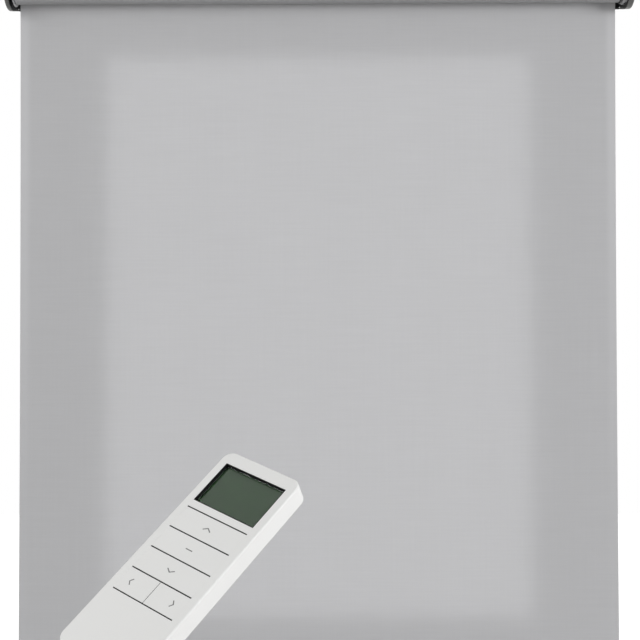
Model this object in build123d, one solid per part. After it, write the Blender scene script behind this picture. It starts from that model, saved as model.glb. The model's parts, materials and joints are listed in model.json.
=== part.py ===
from build123d import *
import math
import os

# Motorized roller blind with its hand transmitter, in millimetres.
# X runs along the roller, Y points into the wall, Z is up.
# The origin is on the wall, midway between the brackets, level with the roller.

# Overall sizes
overall_width = 600.0
half_width = overall_width / 2
axis_to_wall = 30.0
axis_y = -axis_to_wall
drop_to_rail = 716.0

# Play between pieces that fit into each other
close_fit = 0.05
turning_play = 0.06

# Roller tube and the cloth wound on it
tube_radius = 14.0
tube_wall = 1.1
tube_bore = tube_radius - tube_wall
roll_radius = 16.2
cloth_thickness = 0.4
cloth_left = -291.6
cloth_right = 287.7
cloth_gap_behind_roll = 0.3
cloth_front_y = axis_y + roll_radius + cloth_gap_behind_roll
cloth_mid_y = cloth_front_y + cloth_thickness / 2

# Groove along the tube that grips the top edge of the cloth
groove_slot = 1.4
groove_lip = 0.9
groove_width = 3.0
groove_depth = 1.0
bulge_width = 5.0
tube_ribs = (210, 330)
tube_rib_height = 0.7
tube_rib_width = 1.2
tube_rib_root = 0.4
tube_rib_play = 0.4
bulge_skin = 0.4
bulge_floor = tube_radius - groove_lip - groove_depth - 0.8
notch_width = bulge_width + 0.4
notch_floor = bulge_floor - 0.15
spline_side_play = 0.3
spline_height_play = 0.2
spline_inset = 1.0

# Brackets and their snap-on covers
cover_radius = 21.7
cover_wall = 1.3
cover_end = 1.5
cover_edge_round = 1.9
plate_thickness = 1.5
plate_radius = cover_radius - cover_wall - 0.1
underside_rise = 14.4
flange_reach = 18.0
flange_corner = 3.0
wall_flange_low = -12.6
wall_flange_height = 29.6
wall_flange_toe = -14.9
toe_round = 1.2
toe_gap = 0.05
outer_fold = 1.3
inner_fold = 0.7
plate_to_cover_left = 0.4
plate_to_cover_right = 2.0
lip_past_plate = 0.7
cover_back_y = -0.3
ceiling_notch_depth = 26.5
snap_bead = 0.6
snap_bead_length = 7.0
snap_bead_stand = 0.5
snap_bead_angles = (10, 55, 100)
ear_depth = 26.0
ear_height = 8.0
ceiling_flange_depth = 22.0
ceiling_flange_back = -4.0
screw_hole = 2.25
wall_hole_spacing = 18.0
wall_hole_mid_z = 1.0
ceiling_hole_spacing = 12.0
ceiling_hole_mid_y = -14.0
hole_inset = 9.5

# Where each bracket plate stands along X
left_plate_out = -half_width + cover_end + plate_to_cover_left
left_plate_in = left_plate_out + plate_thickness
right_plate_out = half_width - cover_end - plate_to_cover_right
right_plate_in = right_plate_out - plate_thickness

# Idle end
pin_radius = 2.5
pin_end = -268.0
pin_edge = 0.5
bush_radius = 4.5
bush_flange_radius = 6.5
bush_flange = 0.9
plug_flange_radius = 17.9
plug_flange = 0.9
plug_flange_out = -293.5
tube_left = plug_flange_out + plug_flange
plug_shoulder = -289.0
spring_end = -264.0
plug_end = -258.0
plug_edge = 0.3
plug_core_radius = 7.2
plug_band = 2.0
plug_end_play = 0.6
plug_rib_count = 8
plug_rib_width = 1.2
plug_rib_foot = 5.9
spring_chamber_radius = 5.2
collar_radius = 4.9
collar_width = 2.0
spring_coil_radius = 4.0
spring_wire = 0.45
spring_turns = 7

# Motor end
head_radius = 17.3
head_in = 290.2
head_out = right_plate_in - 0.3
crown_flange_radius = 17.0
crown_flange = 1.2
tube_right = head_in - 0.5 - crown_flange
crown_end = 276.0
neck_radius = 10.3
motor_tube_radius = 9.8
motor_tube_wall = 0.6
motor_bore = motor_tube_radius - motor_tube_wall
spigot_end = 262.0
spigot_bore = 7.6
head_edge = 0.5
stub_side = 8.0
stub_past_plate = 1.6
stub_hole_play = 0.2
stub_groove = 1.1
stub_neck = 6.6
clip_thickness = 1.0
clip_width = 14.0
clip_height = 15.0
clip_corner = 2.0
clip_slot = 6.7
clip_mid_x = right_plate_out + 0.65
port_width = 8.94
port_height = 3.26
port_wall = 0.3
port_depth = 6.0
port_floor = 0.8
port_stand = 0.15
tongue_thickness = 0.7
tongue_width = 6.6
tongue_length = 5.0
button_length = 3.4
button_stand = 0.3
button_angle = 38.0
lens_angle = 62.0
button_radius = 1.7
lens_radius = 1.0
lens_length = 5.0
lens_stand = 0.05
small_edge = 0.3
head_screw_x = 269.0
head_screw_angles = (90, 270)
head_screw_pilot = 1.0
head_screw_head = 1.7
head_screw_head_height = 0.6
head_screw_length = 2.0

# Inside the motor tube, from the drive end towards the head
end_cap_start = 9.0
motor_tube_start = 12.0
end_cap_end = 15.6
bush_start = 8.0
bush_outer = 4.6
motor_start = 30.0
motor_end = 62.0
motor_radius = 8.9
shaft_radius = 1.0
shaft_end = 41.0
cells_start = 70.0
cell_length = 65.0
cell_spacing = 67.0
cell_radius = 8.8
cell_tip_length = 1.5
cell_tip_radius = 2.5
board_start = 205.0
board_length = 56.0
board_width = 15.0

# Planetary gear: fixed ring, driven sun, carrier that turns the roller
gear_module = 0.45
sun_teeth = 12
planet_teeth = 12
ring_teeth = 36
planet_count = 3
pressure_angle = math.radians(20)
planet_orbit = gear_module * (sun_teeth + planet_teeth) / 2
gear_start = 20.0
gear_width = 7.6
flank_steps = 4
planet_pin = 0.9
planet_bore = 0.96
carrier_disc = 2.5
carrier_radius = 7.3
carrier_gap = 0.9
boss_radius = 2.2
boss_height = 0.6
output_radius = 3.0
hexagon_radius = 2.9
hexagon_play = 0.05
clip_ring_mid = 0.8
wheel_start = -13.0
wheel_width = 10.0
wheel_hole_count = 6
wheel_hole_radius = 1.7
wheel_hole_orbit = 7.2

# Bottom rail
rail_height = 26.0
rail_depth = 9.6
rail_wall = 1.2
rail_cap = 1.6
rail_corner = 3.0
chamber_corner = 1.5
keyhole_slot = 1.6
keyhole_reach = 6.0
cap_round = 0.8
cap_plug_length = 9.0
cap_plug_play = 0.2
rod_radius = 1.75
rod_slit_width = 0.5
rod_slit_depth = 0.35
rail_low = -drop_to_rail
rail_high = rail_low + rail_height
pocket_radius = 2.2
pocket_z = rail_high - 1.3 - pocket_radius

# Hand transmitter, drawn face up with its top end at the origin, then set in place
remote_width = 46.0
remote_length = 120.0
remote_thickness = 10.8
remote_corner = 5.2
remote_wall = 1.4
remote_split = -6.2
remote_place = Location((-21.0, -663.7, -402.6), (42.76, -12.81, -37.28))
window_width = 37.1
window_height = 24.6
window_mid = -19.35
key_field_top = -35.77
key_pitch = 12.84
key_rows = 4
key_slot = 0.62
key_field_width = 36.9
key_side_gap = 0.03
key_middle_gap = 0.32
key_plate = 1.5
key_edge_round = 0.1
rib_clearance = 0.06
rib_top = -0.1
mat_top = -3.9
front_edge_round = 0.9
back_edge_round = 1.2
glass_top = -1.7
glass_thickness = 0.6
panel_back = -4.4
post_radius = 2.2
post_pilot = 0.8
screw_in_from_side = 3.8
screw_in_from_end = 4.2
screw_clearance = 1.0
screw_head_well = 1.75
screw_head_depth = 2.4
shell_screw_radius = 0.78
shell_screw_length = 6.5
shell_screw_head = 1.6
shell_screw_head_height = 1.0
bezel_play = 0.06
bezel_wall = 0.5
panel_inset = 1.5
rim_reach = 0.7
rim_height = 0.5
plunger_radius = 2.2
plunger_height = 0.7
mat_width = 37.0
mat_thickness = 0.6
dome_foot = 2.8
dome_top = 1.9
dome_height = 0.7
door_width = 28.0
door_top = -86.0
door_plate = 1.2
door_play = 0.2
door_grip_count = 5
door_grip_pitch = 1.8
door_grip_width = 12.0
cell_mid = -104.0
cell_well = 24.0
coin_radius = 10.0
coin_height = 3.2
coin_edge = 0.4


# Shapes drawn in Y and Z and stretched along the roller
def along_roller(start, length, outline):
    return extrude(Plane.YZ.offset(start) * outline, amount=length)


# A turned ring or disc on the roller's axis
def turned(start, end, radius, bore=0.0):
    outline = Pos(axis_y, 0) * Circle(radius)
    if bore > 0:
        outline -= Pos(axis_y, 0) * Circle(bore)
    return along_roller(min(start, end), abs(end - start), outline)


# A place beside the roller's axis: the shape's own -Z points outward, this many
# degrees from straight down towards the room
def around_axis(x, degrees):
    return Pos(x, axis_y, 0) * Rot(-degrees, 0, 0)


# The clear space that a piece inside the tube leaves for the groove's bulge and the two ribs
def tube_keys(start, end):
    height = tube_radius - notch_floor
    outline = Pos(0, notch_floor + height / 2) * Rectangle(notch_width, height)
    for degrees in tube_ribs:
        outline += Rot(0, 0, degrees) * Pos(tube_bore, 0) * Rectangle(
            2 * tube_rib_height + 0.3, tube_rib_width + tube_rib_play)
    return along_roller(min(start, end), abs(end - start), Pos(axis_y, 0) * outline)


# Side view of a bracket: round in front, flat on top, underside rising to the wall
def bracket_outline(radius, back_y):
    lean = math.radians(underside_rise)
    top_front = (axis_y, radius)
    top_back = (back_y, radius)
    low_front = (axis_y + radius * math.sin(lean), -radius * math.cos(lean))
    low_back = (back_y, low_front[1] + (back_y - low_front[0]) * math.tan(lean))
    edge = Line(top_front, top_back)
    edge += Line(top_back, low_back)
    edge += Line(low_back, low_front)
    edge += ThreePointArc(low_front, (axis_y - radius, 0), top_front)
    return make_face(edge)


# Snap-on cover, drawn for the left end: a shallow cup, open to the roller and the wall
def left_cover(plate_in):
    lip_end = plate_in + lip_past_plate
    cup = along_roller(-half_width, lip_end + half_width, bracket_outline(cover_radius, cover_back_y))
    outer_face = cup.faces().sort_by(Axis.X)[0]
    rim = [e for e in outer_face.edges() if e.center().Y < -1.0]
    cup = fillet(rim, cover_edge_round)
    hollow = bracket_outline(cover_radius - cover_wall, 1.0)
    cup -= along_roller(-half_width + cover_end, overall_width / 4, hollow)
    ceiling_notch = Box(40, ceiling_notch_depth, 4, align=(Align.MIN, Align.MAX, Align.MIN))
    cup -= Pos(-half_width + cover_end, 0, cover_radius - cover_wall - 0.2) * ceiling_notch
    bead = Box(snap_bead, snap_bead_length, snap_bead, align=(Align.MIN, Align.CENTER, Align.MAX))
    for degrees in snap_bead_angles:
        height = -(cover_radius - cover_wall) + snap_bead_stand
        cup += around_axis(plate_in + close_fit, degrees) * Pos(0, 0, height) * bead
    return cup


# The two edges, one along Z and one along Y, where the plate folds into its flanges
def fold_edges(plate, x, y, z):
    beside = [e for e in plate.edges() if abs(e.center().X - x) < 0.01]
    upright = [e for e in ShapeList(beside).filter_by(Axis.Z) if abs(e.center().Y - y) < 0.01]
    level = [e for e in ShapeList(beside).filter_by(Axis.Y) if abs(e.center().Z - z) < 0.01]
    return upright + level


# Folded steel bracket, drawn for the left end: side plate, wall flange and ceiling flange
def left_plate(plate_out):
    inner = plate_out + plate_thickness
    side = along_roller(plate_out, plate_thickness, bracket_outline(plate_radius, 0))
    ear = Box(plate_thickness, ear_depth, ear_height, align=(Align.MIN, Align.MAX, Align.MAX))
    side += Pos(plate_out, 0, cover_radius) * ear
    reach = flange_reach + plate_thickness
    wall_flange = Box(reach, plate_thickness, wall_flange_height, align=(Align.MIN, Align.MAX, Align.MIN))
    side += Pos(plate_out, 0, wall_flange_low) * wall_flange
    toe_start = inner + lip_past_plate + toe_gap
    toe_length = plate_out + reach - flange_corner - 1 - toe_start
    toe_height = wall_flange_low - wall_flange_toe + 1
    toe = Box(toe_length, plate_thickness, toe_height, align=(Align.MIN, Align.MAX, Align.MIN))
    toe = fillet(toe.edges().filter_by(Axis.X).group_by(Axis.Z)[0].sort_by(Axis.Y)[0], toe_round)
    side += Pos(toe_start, 0, wall_flange_toe) * toe
    ceiling_flange = Box(
        reach, ceiling_flange_depth, plate_thickness, align=(Align.MIN, Align.MAX, Align.MAX))
    side += Pos(plate_out, ceiling_flange_back, cover_radius) * ceiling_flange
    tips = side.edges().filter_by(Axis.Y) + side.edges().filter_by(Axis.Z)
    tips = [e for e in tips if e.center().X > inner + flange_reach - 0.1 and e.length < 2]
    side = fillet(tips, flange_corner)
    side = fillet(fold_edges(side, plate_out, 0, cover_radius), outer_fold)
    side = fillet(fold_edges(side, inner, -plate_thickness, cover_radius - plate_thickness), inner_fold)
    hole_x = inner + hole_inset
    for step in (-0.5, 0.5):
        wall_hole = Rot(90, 0, 0) * Cylinder(screw_hole, 8)
        side -= Pos(hole_x, 0, wall_hole_mid_z + step * wall_hole_spacing) * wall_hole
        ceiling_y = ceiling_hole_mid_y + step * ceiling_hole_spacing
        side -= Pos(hole_x, ceiling_y, cover_radius) * Cylinder(screw_hole, 8)
    return side


def mirrored_to_right(shape):
    return mirror(shape, about=Plane.YZ)


def left_bracket_cover():
    return left_cover(left_plate_in)


def right_bracket_cover():
    return mirrored_to_right(left_cover(-right_plate_in))


def left_bracket_plate():
    return left_plate(left_plate_out) - turned(left_plate_out - 1, left_plate_in + 1, bush_radius)


def right_bracket_plate():
    hole = stub_side + stub_hole_play
    square = Pos(right_plate_in + plate_thickness / 2, axis_y, 0) * Box(4, hole, hole)
    return mirrored_to_right(left_plate(-right_plate_out)) - square


# Flanged nylon bush that the idle pin turns in
def idle_bush():
    body = turned(left_plate_out, left_plate_in, bush_radius)
    body += turned(left_plate_in, left_plate_in + bush_flange, bush_flange_radius)
    return body - turned(left_plate_out - 1, left_plate_in + 2, pin_radius + turning_play)


# Idle plug: flange, ribbed barrel that fits the tube, and the pocket of the sprung pin
def idle_plug():
    plug = turned(plug_flange_out, tube_left, plug_flange_radius)
    plug = chamfer(plug.edges().sort_by(Axis.X)[0], plug_edge)
    plug += turned(tube_left, plug_end, plug_core_radius)
    plug += turned(tube_left, tube_left + plug_band, tube_bore - close_fit)
    plug += turned(plug_end - plug_band, plug_end, tube_bore - plug_end_play)
    rib_length = plug_end - tube_left
    rib_height = tube_bore - 2 * close_fit - plug_rib_foot
    for number in range(plug_rib_count):
        rib = Box(rib_length, plug_rib_width, rib_height, align=(Align.MIN, Align.CENTER, Align.MAX))
        degrees = 360 / plug_rib_count * (number + 0.5)
        plug += around_axis(tube_left, degrees) * Pos(0, 0, -plug_rib_foot) * rib
    plug -= tube_keys(tube_left, plug_end + 1)
    plug -= turned(plug_flange_out - 1, plug_shoulder, pin_radius + turning_play)
    return plug - turned(plug_shoulder, spring_end, spring_chamber_radius)


def idle_pin():
    pin = turned(left_plate_out - 0.1, pin_end, pin_radius)
    pin = chamfer(pin.edges().sort_by(Axis.X)[0], pin_edge)
    return pin + turned(plug_shoulder + 0.02, plug_shoulder + collar_width, collar_radius)


# Coil spring behind the pin's collar
def idle_spring():
    start = plug_shoulder + collar_width + spring_wire + close_fit
    length = spring_end - spring_wire - close_fit - start
    path = Helix(length / spring_turns, length, spring_coil_radius)
    section = Plane(origin=path @ 0, z_dir=path % 0) * Circle(spring_wire)
    coil = sweep(section, path=path)
    return Pos(start, axis_y, 0) * Rot(0, 90, 0) * coil


# Extruded aluminium tube with the groove for the cloth and two inner ribs
def roller_tube():
    outline = Circle(tube_radius) - Circle(tube_bore)
    for degrees in tube_ribs:
        rib = Rectangle(tube_rib_height + tube_rib_root, tube_rib_width)
        outline += Rot(0, 0, degrees) * Pos(tube_bore + (tube_rib_root - tube_rib_height) / 2, 0) * rib
    bulge_height = tube_radius - bulge_skin - bulge_floor
    outline += Pos(0, bulge_floor + bulge_height / 2) * Rectangle(bulge_width, bulge_height)
    pocket_mid = tube_radius - groove_lip - groove_depth / 2
    outline -= Pos(0, pocket_mid) * Rectangle(groove_width, groove_depth)
    outline -= Pos(0, tube_radius - groove_lip / 2) * Rectangle(groove_slot, groove_lip + 0.6)
    return along_roller(tube_left, tube_right - tube_left, Pos(axis_y, 0) * outline)


# Flat strip that locks the cloth in the tube's groove
def cloth_spline():
    strip = RectangleRounded(groove_width - spline_side_play, groove_depth - spline_height_play, 0.2)
    height = tube_radius - groove_lip - groove_depth / 2
    length = cloth_right - cloth_left - 2 * spline_inset
    return along_roller(cloth_left + spline_inset, length, Pos(axis_y, height) * strip)


# Cloth still on the tube: its outside winds in by one thickness over the last turn
def cloth_roll():
    steps = 24
    points = []
    for number in range(steps + 1):
        share = number / steps
        radius = roll_radius - cloth_thickness * share
        turn = 2 * math.pi * share
        points.append((axis_y + radius * math.cos(turn), radius * math.sin(turn)))
    outer = make_face(Spline(points) + Line(points[-1], points[0]))
    outline = outer - Pos(axis_y, 0) * Circle(tube_radius + close_fit)
    return along_roller(cloth_left, cloth_right - cloth_left, outline)


# The hanging cloth, straight down from the back of the roll into the rail
def cloth():
    bottom = pocket_z + rod_radius + close_fit
    sheet = Box(cloth_right - cloth_left, cloth_thickness, -bottom, align=(Align.MIN, Align.CENTER, Align.MAX))
    return Pos(cloth_left, cloth_mid_y, 0) * sheet


def rail_outline():
    return Pos(cloth_mid_y, rail_low + rail_height / 2) * RectangleRounded(rail_depth, rail_height, rail_corner)


def rail_chamber(shrink):
    top = pocket_z - pocket_radius - rail_wall
    bottom = rail_low + rail_wall
    width = rail_depth - 2 * rail_wall - shrink
    height = top - bottom - shrink
    return Pos(cloth_mid_y, (top + bottom) / 2) * RectangleRounded(width, height, chamber_corner)


# Extruded bottom rail: a weight chamber below and a keyhole above for the cloth's lower edge
def bottom_rail():
    outline = rail_outline() - rail_chamber(0)
    outline -= Pos(cloth_mid_y, pocket_z) * Circle(pocket_radius)
    outline -= Pos(cloth_mid_y, pocket_z + keyhole_reach / 2) * Rectangle(keyhole_slot, keyhole_reach)
    return along_roller(cloth_left, cloth_right - cloth_left, outline)


def rail_cap_left():
    cap = along_roller(cloth_left - rail_cap, rail_cap, rail_outline())
    cap = fillet(cap.faces().sort_by(Axis.X)[0].edges(), cap_round)
    return cap + along_roller(cloth_left, cap_plug_length, rail_chamber(cap_plug_play))


def rail_cap_right():
    cap = along_roller(cloth_right, rail_cap, rail_outline())
    cap = fillet(cap.faces().sort_by(Axis.X)[-1].edges(), cap_round)
    return cap + along_roller(
        cloth_right - cap_plug_length, cap_plug_length, rail_chamber(cap_plug_play))


# Rod in the sewn hem, held in the rail's keyhole
def rail_spline():
    rod = Circle(rod_radius) - Pos(0, rod_radius) * Rectangle(rod_slit_width, 2 * rod_slit_depth)
    length = cloth_right - cloth_left - 2 * spline_inset
    return along_roller(cloth_left + spline_inset, length, Pos(cloth_mid_y, pocket_z) * rod)


# Motor head: rim disc with socket, button and lamp, neck for the crown, spigot for the motor tube
def motor_head():
    disc = turned(head_in, head_out, head_radius)
    disc = chamfer(disc.edges().filter_by(GeomType.CIRCLE), head_edge)
    head = disc + turned(crown_end, head_in, neck_radius)
    head += turned(spigot_end, crown_end, motor_bore - close_fit)
    stub_end = right_plate_out + stub_past_plate
    head += Pos((head_out + stub_end) / 2, axis_y, 0) * Box(stub_end - head_out, stub_side, stub_side)
    groove = Box(stub_groove, 20, 20) - Box(stub_groove, stub_neck, stub_neck)
    head -= Pos(clip_mid_x, axis_y, 0) * groove
    head -= turned(spigot_end - 1, head_in - 1, spigot_bore)
    mid_x = (head_in + head_out) / 2
    head -= around_axis(mid_x, 0) * port_outline(0.02, 6.4)
    head -= around_axis(mid_x, button_angle) * Pos(0, 0, -head_radius) * Cylinder(button_radius + 0.08, 11)
    head -= around_axis(mid_x, lens_angle) * Pos(0, 0, -head_radius) * Cylinder(lens_radius + 0.02, 11)
    for degrees in head_screw_angles:
        head -= around_axis(head_screw_x, degrees) * Pos(0, 0, -motor_bore) * Cylinder(head_screw_pilot, 4)
    return head


# Outside of the charging socket, standing out from the head's rim
def port_outline(grow, depth):
    slot = Rot(0, 0, 90) * SlotOverall(port_width + 2 * grow, port_height + 2 * grow)
    return Pos(0, 0, -head_radius - 0.1) * extrude(slot, amount=depth + 0.1)


def charge_port():
    mid_x = (head_in + head_out) / 2
    shell = extrude(Rot(0, 0, 90) * SlotOverall(port_width, port_height), amount=port_depth)
    inner = Rot(0, 0, 90) * SlotOverall(port_width - 2 * port_wall, port_height - 2 * port_wall)
    shell -= extrude(inner, amount=port_depth - port_floor)
    shell += Pos(0, 0, port_depth / 2) * Box(tongue_thickness, tongue_width, tongue_length)
    return around_axis(mid_x, 0) * Pos(0, 0, -head_radius + port_stand) * shell


def programming_button():
    mid_x = (head_in + head_out) / 2
    cap = Cylinder(button_radius, button_length)
    cap = chamfer(cap.edges().sort_by(Axis.Z)[0], small_edge)
    depth = button_length / 2 + button_stand
    return around_axis(mid_x, button_angle) * Pos(0, 0, -head_radius + depth) * cap


def status_lens():
    mid_x = (head_in + head_out) / 2
    rod = Cylinder(lens_radius, lens_length)
    rod = chamfer(rod.edges().sort_by(Axis.Z)[0], small_edge)
    depth = lens_length / 2 + lens_stand
    return around_axis(mid_x, lens_angle) * Pos(0, 0, -head_radius + depth) * rod


# Flat spring clip that locks the head's square stub behind the bracket plate
def motor_lock_clip():
    blade = Box(clip_thickness, clip_width, clip_height)
    slot = Box(2, clip_slot, clip_height, align=(Align.CENTER, Align.CENTER, Align.MIN))
    blade = fillet(blade.edges().filter_by(Axis.X), clip_corner)
    blade -= Pos(0, 0, -clip_slot / 2) * slot
    return Pos(clip_mid_x, axis_y, 0) * blade


# Crown: turns freely on the head's neck and carries the tube's end
def crown():
    ring = turned(tube_right, tube_right + crown_flange, crown_flange_radius)
    ring += turned(crown_end, tube_right, tube_bore - close_fit)
    ring -= tube_keys(crown_end, tube_right)
    return ring - turned(crown_end - 1, head_in, neck_radius + turning_play)


def motor_tube():
    shell = turned(motor_tube_start, crown_end, motor_tube_radius, motor_bore)
    for degrees in head_screw_angles:
        shell -= around_axis(head_screw_x, degrees) * Pos(0, 0, -motor_bore) * Cylinder(
            head_screw_head + close_fit, 4)
    return shell


def head_screws():
    shank = (Align.CENTER, Align.CENTER, Align.MIN)
    screw = Cylinder(head_screw_pilot - close_fit, head_screw_length, align=shank)
    screw += Cylinder(head_screw_head, head_screw_head_height, align=(Align.CENTER, Align.CENTER, Align.MAX))
    screw -= Pos(0, 0, -0.5) * Box(0.4, 2.4, 0.4)
    seat = Pos(0, 0, -motor_bore + 0.02)
    pair = [around_axis(head_screw_x, degrees) * seat * screw for degrees in head_screw_angles]
    return Compound(children=pair)


def control_board():
    board = Box(board_length, board_width, 1.0, align=(Align.MIN, Align.CENTER, Align.CENTER))
    board += Pos(8, 0, 1.4) * Box(7, 7, 2.0)
    board += Pos(22, -2, 1.3) * Box(5, 5, 1.6)
    board += Pos(34, 3, 1.9) * Box(6, 6, 3.0)
    board += Pos(46, 0, 1.6) * Cylinder(3.0, 2.4)
    return Pos(board_start, axis_y, 0) * board


def battery_cells():
    pair = []
    for number in range(2):
        start = cells_start + cell_spacing * number
        end = start + cell_length
        pair.append(turned(start, end, cell_radius) + turned(end, end + cell_tip_length, cell_tip_radius))
    return Compound(children=pair)


def drive_motor():
    can = turned(motor_start, motor_end, motor_radius)
    can = chamfer(can.edges().sort_by(Axis.X)[-1], 0.8)
    can += turned(motor_end, motor_end + 1.5, 3.0)
    return can - turned(motor_start - 2, shaft_end + 1, shaft_radius + turning_play)


# Outline of a spur gear with straight-sided steps along the involute flank
def gear_outline(teeth, addendum, dedendum, thinning):
    pitch_radius = gear_module * teeth / 2
    base_radius = pitch_radius * math.cos(pressure_angle)
    tip_radius = pitch_radius + addendum
    root_radius = pitch_radius - dedendum
    half_tooth = math.pi / 2 / teeth - thinning / 2 / pitch_radius
    half_tooth += math.tan(pressure_angle) - pressure_angle
    flank = []
    low = max(base_radius, root_radius)
    for number in range(flank_steps + 1):
        radius = low + (tip_radius - low) * number / flank_steps
        roll = math.sqrt(max((radius / base_radius) ** 2 - 1, 0))
        flank.append((radius, half_tooth - roll + math.atan(roll)))
    if root_radius < base_radius:
        flank.insert(0, (root_radius, flank[0][1]))
    points = []
    for tooth in range(teeth):
        mid = 2 * math.pi * tooth / teeth
        for radius, offset in flank:
            points.append((radius * math.cos(mid - offset), radius * math.sin(mid - offset)))
        for radius, offset in reversed(flank):
            points.append((radius * math.cos(mid + offset), radius * math.sin(mid + offset)))
    return make_face(Polyline(points, close=True))


tooth_height = 0.8 * gear_module
tooth_root = 1.1 * gear_module
tooth_play = 0.07


# A gear's outline stood across the roller, its first tooth turned from the up direction
def gear_along_roller(outline, start, width, degrees=0.0):
    return along_roller(start, width, Pos(axis_y, 0) * Rot(0, 0, 90 + degrees) * outline)


# Motor shaft with the sun gear cut on it
def motor_pinion():
    outline = gear_outline(sun_teeth, tooth_height, tooth_root, tooth_play)
    gear = gear_along_roller(outline, gear_start, gear_width)
    return gear + turned(gear_start, shaft_end, shaft_radius)


# One planet gear, in mesh with the sun and the ring at its own place on the carrier
def planet_gear(number):
    outline = gear_outline(planet_teeth, tooth_height, tooth_root, tooth_play) - Circle(planet_bore)
    half_pitch = 180 / planet_teeth
    placed = Pos(planet_orbit, 0) * Rot(0, 0, half_pitch) * outline
    return gear_along_roller(placed, gear_start, gear_width, 360 / planet_count * number)


def planet_gear_1():
    return planet_gear(0)


def planet_gear_2():
    return planet_gear(1)


def planet_gear_3():
    return planet_gear(2)


def ring_gear():
    spaces = gear_outline(ring_teeth, tooth_root - 0.02, 0.55 * gear_module, -tooth_play)
    outline = Circle(motor_bore - close_fit) - Rot(0, 0, 180 / ring_teeth) * spaces
    return gear_along_roller(outline, gear_start - 0.6, gear_width + 1.2)


# Carrier with its three planet pins, in one with the output shaft
def planet_carrier():
    disc_end = gear_start - carrier_gap
    disc_start = disc_end - carrier_disc
    body = turned(disc_start, disc_end, carrier_radius)
    body += turned(disc_end, disc_end + boss_height, boss_radius)
    for number in range(planet_count):
        angle = math.radians(90 + 360 / planet_count * number)
        pin = Pos(axis_y + planet_orbit * math.cos(angle), planet_orbit * math.sin(angle)) * Circle(
            planet_pin)
        body += along_roller(disc_end, gear_width + 1.3, pin)
    body += turned(wheel_start + wheel_width, disc_start, output_radius)
    hexagon = Pos(axis_y, 0) * RegularPolygon(hexagon_radius, 6)
    body += along_roller(wheel_start - 3.5, wheel_width + 3.5, hexagon)
    return body - turned(wheel_start - 1.3, wheel_start - 0.3, 4.0, 2.1)


def motor_end_cap():
    cap = turned(end_cap_start, motor_tube_start, motor_tube_radius)
    cap = chamfer(cap.edges().sort_by(Axis.X)[0], 0.6)
    cap += turned(motor_tube_start, end_cap_end, motor_bore - close_fit)
    return cap - turned(end_cap_start - 1, end_cap_end + 1, bush_outer)


def output_bush():
    bore = output_radius + close_fit
    return turned(bush_start, end_cap_end, bush_outer, bore) + turned(bush_start - 0.8, bush_start, 6.0, bore)


# Drive wheel: keyed to the tube by its bulge notch and to the shaft by its hexagon
def drive_wheel():
    wheel = turned(wheel_start, wheel_start + wheel_width, tube_bore - close_fit)
    wheel -= tube_keys(wheel_start, wheel_start + wheel_width)
    for number in range(wheel_hole_count):
        place = around_axis(wheel_start, 360 / wheel_hole_count * (number + 0.5))
        hole = Rot(0, 90, 0) * Cylinder(wheel_hole_radius, 2 * wheel_width)
        wheel -= place * Pos(wheel_width / 2, 0, -wheel_hole_orbit) * hole
    bore = Pos(axis_y, 0) * RegularPolygon(hexagon_radius + hexagon_play, 6)
    return wheel - along_roller(wheel_start - 1, wheel_width + 2, bore)


def drive_clip():
    ring = turned(wheel_start - 1.2, wheel_start - 0.4, 4.4, 2.15)
    return ring - Pos(wheel_start - clip_ring_mid, axis_y, -3) * Box(2, 2.6, 6)


# Outline of the transmitter seen from the front
def remote_outline(inset):
    width = remote_width - 2 * inset
    length = remote_length - 2 * inset
    return Pos(0, -remote_length / 2) * RectangleRounded(width, length, remote_corner - inset / 2)


def screw_places():
    across = remote_width / 2 - screw_in_from_side
    ends = (-screw_in_from_end, screw_in_from_end - remote_length)
    return [(side * across, end) for side in (-1, 1) for end in ends]


def row_edge(number):
    return key_field_top - key_pitch * number


# Front half: window well, key field and screw posts
def remote_front_shell():
    shell = Pos(0, 0, remote_split) * extrude(remote_outline(0), amount=-remote_split)
    shell = fillet(shell.faces().sort_by(Axis.Z)[-1].edges(), front_edge_round)
    hollow = extrude(remote_outline(remote_wall), amount=-remote_split - remote_wall)
    shell -= Pos(0, 0, remote_split) * hollow
    shell -= Pos(0, window_mid, -1) * Box(window_width, window_height, 4)
    field_height = key_pitch * key_rows + key_slot
    field_mid = key_field_top - key_pitch * key_rows / 2
    shell -= Pos(0, field_mid, -1) * Box(key_field_width + 2 * key_side_gap, field_height, 4)
    for x, y in screw_places():
        post = Cylinder(post_radius, -remote_split - 1.0) - Cylinder(post_pilot, 8)
        shell += Pos(x, y, remote_split / 2 - 0.5 + 0.02) * post
    return remote_place * shell


def remote_back_shell():
    depth = remote_thickness + remote_split
    low = -remote_thickness
    shell = Pos(0, 0, low) * extrude(remote_outline(0), amount=depth)
    shell = fillet(shell.faces().sort_by(Axis.Z)[0].edges(), back_edge_round)
    hollow = extrude(remote_outline(remote_wall), amount=depth)
    shell -= Pos(0, 0, low + remote_wall) * hollow
    door_length = remote_length + door_top + 1
    cut = Box(
        door_width + door_play, door_length, door_plate + 0.1, align=(Align.CENTER, Align.MAX, Align.MIN))
    shell -= Pos(0, door_top, low) * cut
    well = Box(cell_well, cell_well, 4)
    shell -= Pos(0, cell_mid, low) * well
    for x, y in screw_places():
        post = Cylinder(post_radius, depth, align=(Align.CENTER, Align.CENTER, Align.MIN))
        shell += Pos(x, y, low) * post
        shell -= Pos(x, y, low) * Cylinder(screw_clearance, 12)
        shell -= Pos(x, y, low) * Cylinder(screw_head_well, screw_head_depth)
    return remote_place * shell


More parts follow.
